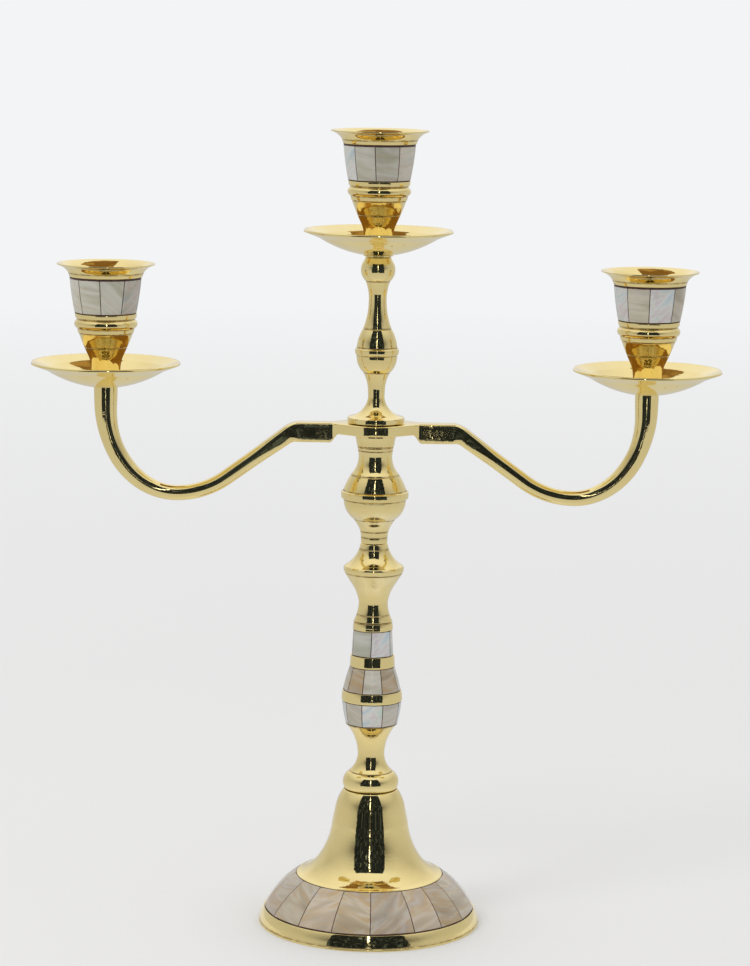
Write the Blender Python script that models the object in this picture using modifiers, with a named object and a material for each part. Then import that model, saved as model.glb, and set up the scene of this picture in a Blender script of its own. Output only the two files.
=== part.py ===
"""Tabletop candelabra: three candle cups on a turned brass stem inlaid with mother of pearl.

The foot is a hollow brass bell. A tie rod clamps the stem's turned sections to it and passes
through the eye of a one-piece cross arm, so the arm turns about the stem. Each candle cup screws
on a stud that also holds its drip pan. Metres, +Z up, origin in the middle of the foot's
underside, +X towards the right arm.

A turned side is a list of stretches from the top down: (radius at the stretch's lower end, drop,
bulge). The bulge is an arc's rise over half its chord, positive where it swells out of the metal,
and 0 on a straight stretch. A negative drop runs back up, inside a bore.
"""

import math

import bmesh
import bpy
from mathutils import Matrix, Vector

OBJECT_NAME = "tabletop_candelabra"

# ------------------------------------------------------------------ fits and walls
SEAT_GAP = 0.0003           # between two pieces that rest on each other
BORE_CLEARANCE = 0.0003     # all round a rod or a stud in its hole
INLAY_THICKNESS = 0.0009    # of one mother-of-pearl tile
BELL_WALL = 0.0016          # brass left behind the foot's inlay
BELL_ROOF = 0.0040          # solid brass at the top of the bell
PAN_THICKNESS = 0.0010

# ------------------------------------------------------------------ fasteners
TIE_ROD_RADIUS = 0.0030
TIE_ROD_GRIP = 0.0067       # length of the rod inside the upper stem
TIE_ROD_TAIL = 0.0020       # length of the rod below its nut
NUT_RADIUS = 0.0058         # over the corners
NUT_HEIGHT = 0.0048
WASHER_RADIUS = 0.0080
WASHER_THICKNESS = 0.0012
STUD_RADIUS = 0.0020
STUD_CUP_GRIP = 0.0065      # length of a stud inside the cup's foot
STUD_POST_GRIP = 0.0070     # length of a stud inside the stem or the arm
END_CHAMFER = 0.0004

# ------------------------------------------------------------------ foot: a bell with an inlaid brim
FOOT_RADIUS = 0.04635
FOOT_RIM_REACH = 0.00215    # radial width of the plain brass rim
FOOT_RIM_HEIGHT = 0.0062
FOOT_RIM_TAPER = 0.00065
FOOT_RIM_BULGE = 0.05
FOOT_INLAY_REACH = 0.0133   # radial width of the inlaid brim
FOOT_INLAY_HEIGHT = 0.0146
FOOT_INLAY_BULGE = 0.13
FOOT_TILE_WIDTH = 0.0139    # of a tile halfway down the brim
BELL_LEDGE_REACH = 0.0020
BELL_TOP_RADIUS = 0.0112
BELL_SIDE = [
    (0.0146, 0.0076, 0.12),     # shoulder
    (0.0159, 0.0064, 0.0),      # waist
]
BELL_FLARE_DROP = 0.0217
BELL_FLARE_BULGE = -0.225
BELL_LEDGE_DROP = 0.0006

# ------------------------------------------------------------------ lower stem: neck and inlaid baluster
BALUSTER_TOP_RADIUS = 0.0081
BALUSTER_COLLAR = (0.0084, 0.0032, 0.04)
# Each inlaid band: radius at its top and at its foot, height, bulge and number of tiles.
BAND_UPPER = (0.0085, 0.0091, 0.0109, 0.0, 6)
BAND_MIDDLE = (0.0094, 0.01225, 0.0102, 0.03, 9)
BAND_LOWER = (0.0127, 0.0110, 0.0100, 0.05, 9)
BALUSTER_RING_UPPER = 0.0047    # height of the brass ring between two inlaid bands
BALUSTER_RING_LOWER = 0.0043
LOWER_NECK_RADIUS = 0.0056
LOWER_NECK = [
    (LOWER_NECK_RADIUS, 0.0123, -0.17),
    (0.0090, 0.0081, -0.24),
    (0.0093, 0.0004, 0.0),
]
LOWER_KNOP = (0.0109, 0.0071, 0.42)

# ------------------------------------------------------------------ middle stem: a spool
SPOOL_TOP_RADIUS = 0.0056
SPOOL_RIM_RADIUS = 0.0126
SPOOL_SIDE = [
    (0.0121, 0.0094, -0.23),
    (SPOOL_RIM_RADIUS, 0.0008, 0.1),
    (0.0121, 0.0022, 0.1),
    (0.0086, 0.0055, 0.0),
    (0.00605, 0.0070, -0.11),
    (0.0080, 0.0078, -0.11),
]

# ------------------------------------------------------------------ vase stem and the collar under the arm
VASE_TOP_RADIUS = 0.0076
VASE_RING_RADIUS = 0.0139
VASE_SIDE = [
    (0.0073, 0.0018, 0.0),
    (0.0096, 0.0096, -0.25),
    (0.0131, 0.0071, 0.06),
    (VASE_RING_RADIUS, 0.0005, 0.0),
    (VASE_RING_RADIUS, 0.0026, 0.08),
    (0.0129, 0.0006, 0.0),
    (0.0086, 0.0087, 0.10),
    (0.0078, 0.0011, 0.0),
    (0.0056, 0.0055, -0.15),
    (0.0055, 0.0030, 0.0),
]
COLLAR_TOP_RADIUS = 0.0085
COLLAR_SIDE = [
    (0.0085, 0.0009, 0.0),
    (0.0078, 0.0038, -0.06),
]

# ------------------------------------------------------------------ upper stem: flange, vase and knop
UPPER_TOP_RADIUS = 0.0062
FLANGE_RADIUS = 0.0118
UPPER_SIDE = [
    (0.0062, 0.0005, 0.0),
    (0.0051, 0.0004, 0.0),
    (0.0060, 0.0018, 0.0),
    (0.0053, 0.0079, 0.34),     # knop
    (0.0037, 0.0090, -0.11),
    (0.0059, 0.0109, -0.09),
    (0.0084, 0.0077, 0.11),     # little vase
    (0.0090, 0.0007, 0.0),
    (0.0089, 0.0020, 0.1),
    (0.0084, 0.0004, 0.0),
    (0.0060, 0.0069, 0.07),
    (0.0035, 0.0084, -0.13),
    (0.0034, 0.0022, 0.0),
    (0.0116, 0.0082, -0.35),    # foot
    (FLANGE_RADIUS, 0.0004, 0.0),
    (FLANGE_RADIUS, 0.0018, 0.0),
]

# ------------------------------------------------------------------ cross arm
EYE_RADIUS = 0.0140
STRIP_THICKNESS = 0.0043
STRIP_HALF_DEPTH = 0.0068       # where the strip meets the eye
STRIP_TUCK = 0.0003             # how far the strip lies inside the eye's flat faces
PADDLE_START = 0.0178           # distance of the paddle's inner end from the stem's axis
KNEE_REACH = 0.0345             # distance of the knee from the stem's axis
PADDLE_HEIGHT = 0.0081
ARM_REACH = 0.1115              # distance of a side candle from the stem's axis
ARM_SLOPE = math.radians(36.0)
ARM_DIP_RADIUS = 0.035          # of the centreline, from the slope into the dip
ARM_BEND_REACH = 0.0293         # half axes of the quarter ellipse up to the post
ARM_BEND_RISE = 0.0360
POST_LENGTH = 0.0081            # straight post under the drip pan
# Sections of the arm: half height in its plane, half depth across it, squareness (2 is an ellipse).
SECTION_STRIP = (STRIP_THICKNESS / 2 - STRIP_TUCK, STRIP_HALF_DEPTH, 6.0)
SECTION_NECK = (0.0029, 0.0044, 5.0)    # between the strip and the paddle
SECTION_PADDLE = (PADDLE_HEIGHT / 2, 0.0040, 5.0)
SECTION_KNEE = (0.0037, 0.0038, 4.2)
SECTION_SLOPE = (0.0033, 0.0036, 3.4)
SECTION_DIP = (0.0031, 0.0034, 2.6)
SECTION_POST = (0.0044, 0.0044, 2.2)
SECTION_POST_END = (0.0049, 0.0049, 2.0)
ARM_SIDES = 12
DIP_SECTIONS = 3
BEND_SECTIONS = 6

# ------------------------------------------------------------------ drip pan
PAN_RADIUS = 0.0307
PAN_SEAT_RADIUS = 0.0086        # flat underside that sits on the post
PAN_BRIM_REACH = 0.0062
PAN_BRIM_DROP = 0.0024
PAN_BOWL_DROP = 0.0065
PAN_BOWL_BULGE = 0.09

# ------------------------------------------------------------------ candle cup
CUP_RIM_RADIUS = 0.0201
CUP_RIM_EDGE = 0.0005
CUP_LIP_INSET = 0.0004
CANDLE_BORE_RADIUS = 0.0114     # at the foot of the flared lip
CANDLE_FLOOR_RADIUS = 0.0100
CANDLE_DEPTH = 0.0190
CUP_LIP_DEPTH = 0.0060
CUP_LIP_BULGE = 0.20
CUP_BAND = (0.0150, 0.0128, 0.0151, 0.03, 9)
CUP_THROAT = [
    (0.0155, 0.0034, -0.20),
    (CUP_BAND[0], 0.0016, 0.0),
]
CUP_FOOT = [
    (0.0124, 0.0019, 0.0),
    (0.0120, 0.0003, 0.0),
    (0.0123, 0.0006, 0.0),
    (0.0121, 0.0031, 0.5),      # bead
    (0.0115, 0.0019, 0.0),
    (0.0112, 0.0003, 0.0),
    (0.0076, 0.0085, 0.03),
    (0.0060, 0.0065, -0.12),
    (0.0063, 0.0054, -0.05),
]

# ------------------------------------------------------------------ facets
ARC_TOLERANCE = 0.00015     # how far a facet may leave its arc
FOOT_STEPS = 32             # facets round each turned piece, in whole quarters
PAN_STEPS = 28
CUP_STEPS = 20
STEM_STEPS = 20
UPPER_STEPS = 16
FASTENER_STEPS = 16
MERGE_DISTANCE = 0.00001
SMOOTH_ANGLE = math.radians(35.0)
FRONT = math.radians(-90.0)

# ------------------------------------------------------------------ materials: colour, roughness, metallic
MATERIALS = {
    "polished_brass": ((0.86, 0.64, 0.24, 1.0), 0.12, 1.0),
    "mother_of_pearl": ((0.74, 0.71, 0.66, 1.0), 0.28, 0.0),
    "fastener_steel": ((0.55, 0.55, 0.56, 1.0), 0.35, 1.0),
}


# ------------------------------------------------------------------ outlines
def arc_points(start, end, bulge):
    """The points after start, up to and with end, along an arc of that bulge."""
    sweep = 4 * math.atan(bulge)
    if not sweep:
        return [end]
    chord = end - start
    radius = chord.length / (2 * abs(math.sin(sweep / 2)))
    facet = 2 * math.acos(1 - min(ARC_TOLERANCE / radius, 1))
    count = math.ceil(abs(sweep) / facet)
    centre = (start + end) / 2 + Vector((chord.y, -chord.x)) / (2 * math.tan(sweep / 2))
    spoke = start - centre
    inner = [centre + Matrix.Rotation(-sweep * i / count, 2) @ spoke for i in range(1, count)]
    return inner + [end]


def side_points(start, stretches):
    """A turned side as (radius, height) points, from its start down its stretches."""
    points = [Vector(start)]
    for radius, drop, bulge in stretches:
        end = Vector((radius, points[-1].y - drop))
        points += arc_points(points[-1], end, bulge)
    return points


def height_of(stretches):
    return sum(drop for _, drop, _ in stretches)


def inset(points, depth):
    """The side moved into the metal by depth, measured square to it."""
    directions = [(b - a).normalized() for a, b in zip(points, points[1:])]
    moved = []
    for i, point in enumerate(points):
        before = directions[max(i - 1, 0)]
        after = directions[min(i, len(directions) - 1)]
        along = (before + after).normalized()
        inward = Vector((along.y, -along.x))
        moved.append(point + inward * depth / along.dot(after))
    return moved


def shortened(points, length):
    """The side with that length taken off each end."""
    first, last = points[1] - points[0], points[-2] - points[-1]
    ends = points[0] + first.normalized() * length, points[-1] + last.normalized() * length
    return [ends[0], *points[1:-1], ends[1]]


def narrowed(points, ratio):
    return [Vector((point.x * ratio, point.y)) for point in points]


def band_points(band, top):
    """The outer corners of an inlaid band whose upper edge is at that height."""
    top_radius, foot_radius, height, bulge, _ = band
    return side_points((top_radius, top), [(foot_radius, height, bulge)])


def flatness(tiles):
    """How far in the middle of a flat tile lies, as a share of its corners' radius."""
    return math.cos(math.pi / tiles)


def recess_points(band, top):
    """The groove that an inlaid band is set in: its bed clears the backs of the flat tiles."""
    skin = band_points(band, top)
    bed = inset(narrowed(skin, flatness(band[-1])), INLAY_THICKNESS + SEAT_GAP)
    return [skin[0], *bed, skin[-1]]


def tile_ring_points(band, top):
    """The closed section of an inlaid band, through the corners between its tiles."""
    ratio = flatness(band[-1])
    skin = shortened(band_points(band, top), SEAT_GAP)
    back = narrowed(inset(narrowed(skin, ratio), INLAY_THICKNESS), 1 / ratio)
    return skin + back[::-1]


# ------------------------------------------------------------------ scene
def collection(name):
    made = bpy.data.collections.new(name)
    bpy.context.scene.collection.children.link(made)
    return made


def clear_scene():
    for obj in list(bpy.data.objects):
        bpy.data.objects.remove(obj, do_unlink=True)


def material(name, slot):
    colour, roughness, metallic = MATERIALS[slot]
    made = bpy.data.materials.new(name)
    made.use_nodes = True
    shader = made.node_tree.nodes["Principled BSDF"]
    shader.inputs["Base Color"].default_value = colour
    shader.inputs["Roughness"].default_value = roughness
    shader.inputs["Metallic"].default_value = metallic
    made.diffuse_color = colour
    return made


def add_object(name, mesh, place, parent=None, slot="polished_brass"):
    """An object of the candelabra, placed in its parent's frame."""
    obj = bpy.data.objects.new(name, mesh)
    obj.data.materials.append(material(name, slot))
    PARTS.objects.link(obj)
    obj.parent = parent
    obj.location = place
    return obj


def add_pivot(name, place, parent=None):
    """An empty on a joint's axis."""
    pivot = bpy.data.objects.new(name, None)
    PARTS.objects.link(pivot)
    pivot.parent = parent
    pivot.location = place
    return pivot


def as_guide(obj):
    """Turns an object into a cutter that is left out of the model."""
    for owner in list(obj.users_collection):
        owner.objects.unlink(obj)
    CUTTERS.objects.link(obj)
    obj.hide_render = True
    obj.display_type = "WIRE"
    return obj


def combine(obj, other, operation):
    modifier = obj.modifiers.new(f"{operation.lower()}_{other.name}", "BOOLEAN")
    modifier.operation = operation
    modifier.object = other


# ------------------------------------------------------------------ shapes
def turned(name, points, steps, place, parent=None, slot="polished_brass"):
    """A turned solid. A section that doesn't start on the axis is a closed loop."""
    closed = points[0].x > MERGE_DISTANCE
    count = len(points)
    edges = [(i, (i + 1) % count) for i in range(count if closed else count - 1)]
    mesh = bpy.data.meshes.new(name)
    mesh.from_pydata([(point.x, 0.0, point.y) for point in points], edges, [])
    obj = add_object(name, mesh, place, parent, slot)
    screw = obj.modifiers.new("turning", "SCREW")
    screw.steps = steps
    screw.render_steps = steps
    screw.use_merge_vertices = True
    screw.merge_threshold = MERGE_DISTANCE
    screw.use_smooth_shade = slot != "mother_of_pearl"
    return obj


def tile_ring(name, band, top, place, parent=None):
    """An inlaid band as one ring of flat tiles, with a joint between two tiles at the front."""
    ring = turned(name, tile_ring_points(band, top), band[-1], place, parent, "mother_of_pearl")
    ring.data.transform(Matrix.Rotation(FRONT, 4, "Z"))


def cylinder(name, radius, height, place, segments=FASTENER_STEPS, parent=None):
    """A capped cylinder or prism standing on its place."""
    build = bmesh.new()
    bmesh.ops.create_cone(
        build, cap_ends=True, segments=segments, radius1=radius, radius2=radius, depth=height,
        matrix=Matrix.Translation((0, 0, height / 2)))
    mesh = bpy.data.meshes.new(name)
    build.to_mesh(mesh)
    build.free()
    return add_object(name, mesh, place, parent, "fastener_steel")


def rod(name, radius, length, place, parent=None):
    """A threaded rod as a plain cylinder with chamfered ends, standing on its place."""
    neck = radius - END_CHAMFER
    stretches = [(neck, 0.0, 0.0), (radius, END_CHAMFER, 0.0),
                 (radius, length - 2 * END_CHAMFER, 0.0), (neck, END_CHAMFER, 0.0), (0.0, 0.0, 0.0)]
    return turned(name, side_points((0.0, length), stretches), FASTENER_STEPS, place, parent,
                  "fastener_steel")


def bored(points, bore):
    """A side closed by a hole right through, from its foot back up to its top."""
    return points + [Vector((bore, points[-1].y)), Vector((bore, points[0].y))]


# ------------------------------------------------------------------ arm
def arm_stations():
    """Centreline of the right arm: (x, z, direction, section), from the stem's axis outwards.

    Heights are measured from the top of the eye.
    """
    strip, paddle = -STRIP_THICKNESS / 2, -PADDLE_HEIGHT / 2
    neck = PADDLE_START - PADDLE_HEIGHT + STRIP_THICKNESS
    stations = [
        (0.0, strip, 0.0, SECTION_STRIP),
        (neck, strip, 0.0, SECTION_STRIP),
        ((neck + PADDLE_START) / 2, -SECTION_NECK[0], 0.0, SECTION_NECK),
        (PADDLE_START, paddle, 0.0, SECTION_PADDLE),
        (KNEE_REACH - PADDLE_HEIGHT / 2, paddle, 0.0, SECTION_PADDLE),
    ]
    dip_start = ARM_REACH - ARM_BEND_REACH - ARM_DIP_RADIUS * math.sin(ARM_SLOPE)
    slope_fall = (dip_start - KNEE_REACH) * math.tan(ARM_SLOPE)
    stations.append((KNEE_REACH, paddle, -ARM_SLOPE / 2, SECTION_KNEE))
    run = KNEE_REACH + PADDLE_HEIGHT * math.cos(ARM_SLOPE) / 2
    stations.append((run, paddle - (run - KNEE_REACH) * math.tan(ARM_SLOPE), -ARM_SLOPE,
                     SECTION_SLOPE))
    dip_bottom = paddle - slope_fall - ARM_DIP_RADIUS * (1 - math.cos(ARM_SLOPE))
    dip_middle = ARM_REACH - ARM_BEND_REACH
    for i in range(DIP_SECTIONS + 1):
        share = i / DIP_SECTIONS
        angle = ARM_SLOPE * (1 - share)
        stations.append((dip_middle - ARM_DIP_RADIUS * math.sin(angle),
                         dip_bottom + ARM_DIP_RADIUS * (1 - math.cos(angle)), -angle,
                         mixed(SECTION_SLOPE, SECTION_DIP, share)))
    for i in range(1, BEND_SECTIONS + 1):
        share = i / BEND_SECTIONS
        angle = share * math.pi / 2
        direction = math.atan2(ARM_BEND_RISE * math.sin(angle), ARM_BEND_REACH * math.cos(angle))
        stations.append((dip_middle + ARM_BEND_REACH * math.sin(angle),
                         dip_bottom + ARM_BEND_RISE * (1 - math.cos(angle)), direction,
                         mixed(SECTION_DIP, SECTION_POST, share)))
    stations.append((ARM_REACH, dip_bottom + ARM_BEND_RISE + POST_LENGTH, math.pi / 2,
                     SECTION_POST_END))
    return stations


def mixed(first, second, share):
    return tuple(a + (b - a) * share for a, b in zip(first, second))


def section_ring(build, station):
    """One rounded section of the arm, square to its centreline."""
    x, z, direction, (half_height, half_depth, squareness) = station
    across = Vector((-math.sin(direction), 0.0, math.cos(direction)))
    ring = []
    for i in range(ARM_SIDES):
        angle = 2 * math.pi * i / ARM_SIDES
        up, out = math.cos(angle), math.sin(angle)
        up = math.copysign(abs(up) ** (2 / squareness), up) * half_height
        out = math.copysign(abs(out) ** (2 / squareness), out) * half_depth
        ring.append(build.verts.new(Vector((x, 0.0, z)) + across * up - Vector((0.0, out, 0.0))))
    return ring


def right_arm_mesh():
    """The right half of the cross arm, open at the stem's axis."""
    build = bmesh.new()
    rings = [section_ring(build, station) for station in arm_stations()]
    for inner, outer in zip(rings, rings[1:]):
        for i in range(ARM_SIDES):
            j = (i + 1) % ARM_SIDES
            build.faces.new((inner[i], inner[j], outer[j], outer[i]))
    build.faces.new(rings[-1])
    bmesh.ops.recalc_face_normals(build, faces=build.faces)
    mesh = bpy.data.meshes.new("right_arm")
    build.to_mesh(mesh)
    build.free()
    mesh.shade_smooth()
    mesh.set_sharp_from_angle(angle=SMOOTH_ANGLE)
    return mesh


def add_cross_arm(pivot, stud_reach):
    """The one-piece arm: two mirrored rods joined to a flat eye, bored for the rod and studs."""
    arm = add_object("cross_arm", right_arm_mesh(), (0, 0, 0), pivot)
    mirror = arm.modifiers.new("left_half", "MIRROR")
    mirror.merge_threshold = MERGE_DISTANCE
    eye = cylinder("eye_disc", EYE_RADIUS, STRIP_THICKNESS, (0, 0, -STRIP_THICKNESS),
                   FOOT_STEPS, pivot)
    combine(arm, as_guide(eye), "UNION")
    bore = cylinder("eye_bore", TIE_ROD_RADIUS + BORE_CLEARANCE, 3 * STRIP_THICKNESS,
                    (0, 0, -2 * STRIP_THICKNESS), FASTENER_STEPS, pivot)
    combine(arm, as_guide(bore), "DIFFERENCE")
    post_top = arm_stations()[-1][1]
    for side, sign in (("left", -1), ("right", 1)):
        hole = cylinder(f"stud_hole_{side}", STUD_RADIUS + BORE_CLEARANCE, 2 * stud_reach,
                        (sign * ARM_REACH, 0, post_top - stud_reach), FASTENER_STEPS, pivot)
        combine(arm, as_guide(hole), "DIFFERENCE")
    return post_top


# ------------------------------------------------------------------ stem
def foot_sides():
    """The bell's brass side with its inlay groove, the skin over the inlay, and the band."""
    inlay_foot = FOOT_RADIUS - FOOT_RIM_REACH
    inlay_top = inlay_foot - FOOT_INLAY_REACH
    flare = [(inlay_top - BELL_LEDGE_REACH, BELL_FLARE_DROP, BELL_FLARE_BULGE),
             (inlay_top, BELL_LEDGE_DROP, 0.0)]
    bell = BELL_SIDE + flare
    tiles = round(math.pi * (inlay_top + inlay_foot) / FOOT_TILE_WIDTH)
    band = (inlay_top, inlay_foot, FOOT_INLAY_HEIGHT, FOOT_INLAY_BULGE, tiles)
    rim_break = FOOT_RIM_HEIGHT / 2
    rim = [(FOOT_RADIUS - FOOT_RIM_TAPER, rim_break, FOOT_RIM_BULGE),
           (FOOT_RADIUS, FOOT_RIM_HEIGHT - rim_break, 0.0)]
    top = height_of(bell) + FOOT_INLAY_HEIGHT + FOOT_RIM_HEIGHT
    upper = side_points((BELL_TOP_RADIUS, top), bell)
    lower = side_points((inlay_foot, FOOT_RIM_HEIGHT), rim)
    inlay_height = FOOT_RIM_HEIGHT + FOOT_INLAY_HEIGHT
    brass = upper[:-1] + recess_points(band, inlay_height) + lower[1:]
    skin = upper[:-1] + band_points(band, inlay_height) + lower[1:]
    return brass, skin, band, top, inlay_height


def below(points, ceiling):
    """The part of a falling side that lies between a ceiling and the ground."""
    kept = []
    for a, b in zip(points, points[1:]):
        for level in (ceiling, 0.0):
            if a.y > level > b.y:
                kept.append(a.lerp(b, (a.y - level) / (a.y - b.y)))
        if ceiling > b.y > 0.0:
            kept.append(b)
    return sorted(kept, key=lambda point: -point.y)


def add_foot():
    """The hollow bell and its inlaid brim. Returns the height of its top and of its roof."""
    brass, skin, band, top, inlay_height = foot_sides()
    sag = band[1] * (1 - flatness(band[-1]))
    shell = INLAY_THICKNESS + SEAT_GAP + sag + BELL_WALL
    ceiling = top - BELL_ROOF
    hollow = below(inset(skin, shell), ceiling)
    bore = TIE_ROD_RADIUS + BORE_CLEARANCE
    loop = brass + hollow[::-1] + [Vector((bore, ceiling)), Vector((bore, top))]
    turned("base_bell", loop, FOOT_STEPS, (0, 0, 0))
    tile_ring("base_inlay", band, inlay_height, (0, 0, 0))
    return top, ceiling


def add_lower_stem(seat):
    """The knop, the neck and the inlaid baluster, bored for the tie rod. Returns its top."""
    rings = [(BAND_MIDDLE[0], BALUSTER_RING_UPPER, 0.0), (BAND_LOWER[0], BALUSTER_RING_LOWER, 0.05)]
    tail = LOWER_NECK + [LOWER_KNOP]
    bands = [BAND_UPPER, BAND_MIDDLE, BAND_LOWER]
    height = height_of([BALUSTER_COLLAR, *rings, *tail]) + sum(band[2] for band in bands)
    side = side_points((BALUSTER_TOP_RADIUS, height), [BALUSTER_COLLAR])
    for label, band, stretches in zip(("upper", "middle", "lower"), bands,
                                      ([rings[0]], [rings[1]], tail)):
        top = side[-1].y
        side += recess_points(band, top)
        side += side_points(side[-1], stretches)[1:]
        tile_ring(f"stem_inlay_{label}", band, top, (0, 0, seat))
    bore = TIE_ROD_RADIUS + BORE_CLEARANCE
    turned("lower_stem", bored(side, bore), STEM_STEPS, (0, 0, seat))
    return seat + height


def add_stem_section(name, top_radius, stretches, seat):
    """A turned section that the tie rod passes through. Returns the height of its top."""
    height = height_of(stretches)
    loop = bored(side_points((top_radius, height), stretches), TIE_ROD_RADIUS + BORE_CLEARANCE)
    turned(name, loop, STEM_STEPS, (0, 0, seat))
    return seat + height


def add_upper_stem(seat):
    """The section above the arm: a blind hole at each end. Returns the height of its top."""
    height = height_of(UPPER_SIDE)
    stud_hole, stud_depth = STUD_RADIUS + BORE_CLEARANCE, STUD_POST_GRIP + SEAT_GAP
    rod_hole, rod_depth = TIE_ROD_RADIUS + BORE_CLEARANCE, TIE_ROD_GRIP + SEAT_GAP
    stretches = [(stud_hole, 0.0, 0.0), (stud_hole, -stud_depth, 0.0), (UPPER_TOP_RADIUS, 0.0, 0.0),
                 *UPPER_SIDE, (rod_hole, 0.0, 0.0), (rod_hole, -rod_depth, 0.0), (0.0, 0.0, 0.0)]
    turned("upper_stem", side_points((0.0, height - stud_depth), stretches), UPPER_STEPS,
           (0, 0, seat))
    return seat + height


def add_tie_rod(roof, upper_seat):
    """The rod, nut and washer that clamp the stem to the bell."""
    washer_top = roof - SEAT_GAP
    bore = TIE_ROD_RADIUS + BORE_CLEARANCE
    washer = side_points((WASHER_RADIUS, WASHER_THICKNESS), [(WASHER_RADIUS, WASHER_THICKNESS, 0.0)])
    turned("base_washer", bored(washer, bore), FASTENER_STEPS,
           (0, 0, washer_top - WASHER_THICKNESS), slot="fastener_steel")
    nut_foot = washer_top - WASHER_THICKNESS - SEAT_GAP - NUT_HEIGHT
    nut = cylinder("base_nut", NUT_RADIUS, NUT_HEIGHT, (0, 0, nut_foot), 6)
    nut_bore = cylinder("nut_bore", bore, 2 * NUT_HEIGHT, (0, 0, nut_foot - NUT_HEIGHT / 2))
    combine(nut, as_guide(nut_bore), "DIFFERENCE")
    foot = nut_foot - TIE_ROD_TAIL
    rod("tie_rod", TIE_ROD_RADIUS, upper_seat + TIE_ROD_GRIP - foot, (0, 0, foot))


# ------------------------------------------------------------------ candle holders
def pan_section():
    """Underside from the rim to the seat, the stud's hole, and the dish back out to the rim."""
    top = PAN_BRIM_DROP + PAN_BOWL_DROP
    under = side_points((PAN_RADIUS, top), [
        (PAN_RADIUS - PAN_BRIM_REACH, PAN_BRIM_DROP, 0.0),
        (PAN_SEAT_RADIUS, PAN_BOWL_DROP, PAN_BOWL_BULGE)])
    hole = STUD_RADIUS + BORE_CLEARANCE
    seat = under + [Vector((hole, 0.0))]
    dish = inset(seat, PAN_THICKNESS)
    return seat + dish[::-1]


def cup_section():
    """Candle bore, flared lip, outside, and the stud's blind hole, with heights from the foot."""
    band_height = CUP_BAND[2]
    height = CUP_RIM_EDGE + height_of(CUP_THROAT) + band_height + height_of(CUP_FOOT)
    lip = CUP_RIM_RADIUS - CUP_LIP_INSET
    inside = [(CANDLE_FLOOR_RADIUS, 0.0, 0.0),
              (CANDLE_BORE_RADIUS, CUP_LIP_DEPTH - CANDLE_DEPTH, 0.0),
              (lip, -CUP_LIP_DEPTH, CUP_LIP_BULGE), (CUP_RIM_RADIUS, 0.0, 0.0),
              (CUP_RIM_RADIUS, CUP_RIM_EDGE, 0.0)]
    points = side_points((0.0, height - CANDLE_DEPTH), inside + CUP_THROAT)
    band_top = points[-1].y
    points += recess_points(CUP_BAND, band_top)[1:]
    hole, depth = STUD_RADIUS + BORE_CLEARANCE, STUD_CUP_GRIP + SEAT_GAP
    foot = CUP_FOOT + [(hole, 0.0, 0.0), (hole, -depth, 0.0), (0.0, 0.0, 0.0)]
    return points + side_points(points[-1], foot)[1:], band_top


def add_candle_holder(side, post_top, reach, parent):
    """A drip pan and its stud on a post, and the candle cup that lifts off them."""
    pan_seat = post_top + SEAT_GAP
    cup_seat = pan_seat + PAN_THICKNESS + SEAT_GAP
    turned(f"drip_pan_{side}", pan_section(), PAN_STEPS, (reach, 0, pan_seat), parent)
    stud_foot = post_top - STUD_POST_GRIP
    rod(f"cup_stud_{side}", STUD_RADIUS, cup_seat + STUD_CUP_GRIP - stud_foot,
        (reach, 0, stud_foot), parent)
    axis = add_pivot(f"cup_axis_{side}", (reach, 0, cup_seat), parent)
    section, band_top = cup_section()
    turned(f"candle_cup_{side}", section, CUP_STEPS, (0, 0, 0), axis)
    tile_ring(f"cup_inlay_{side}", CUP_BAND, band_top, (0, 0, 0), axis)


# ------------------------------------------------------------------ assembly
def build_candelabra():
    bell_top, bell_roof = add_foot()
    baluster_top = add_lower_stem(bell_top + SEAT_GAP)
    spool_top = add_stem_section("middle_stem", SPOOL_TOP_RADIUS, SPOOL_SIDE,
                                 baluster_top + SEAT_GAP)
    vase_top = add_stem_section("vase_stem", VASE_TOP_RADIUS, VASE_SIDE, spool_top + SEAT_GAP)
    collar_top = add_stem_section("arm_collar", COLLAR_TOP_RADIUS, COLLAR_SIDE, vase_top + SEAT_GAP)
    eye_top = collar_top + SEAT_GAP + STRIP_THICKNESS
    arm_pivot = add_pivot("arm_pivot", (0, 0, eye_top))
    side_post_top = add_cross_arm(arm_pivot, STUD_POST_GRIP + SEAT_GAP)
    upper_seat = eye_top + SEAT_GAP
    upper_top = add_upper_stem(upper_seat)
    add_tie_rod(bell_roof, upper_seat)
    add_candle_holder("centre", upper_top, 0.0, None)
    add_candle_holder("left", side_post_top, -ARM_REACH, arm_pivot)
    add_candle_holder("right", side_post_top, ARM_REACH, arm_pivot)


clear_scene()
PARTS = collection(OBJECT_NAME)
CUTTERS = collection("cutters")
build_candelabra()
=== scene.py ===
"""Looks of the tabletop candelabra: polished brass, mother-of-pearl tiles and their mastic.

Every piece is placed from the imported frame. A turned side is a list of stretches from the top
down: (radius at the stretch's lower end, drop, bulge). The bulge is an arc's rise over half its
chord, positive where it swells out of the metal; a stretch without one is straight. A negative
drop runs back up, inside a bore.
"""

import random
from math import (acos, atan, atan2, ceil, copysign, cos, exp, hypot, log, pi, radians, sin,
                  sqrt, tan)

import bpy
from mathutils import Matrix, Vector, noise


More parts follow.
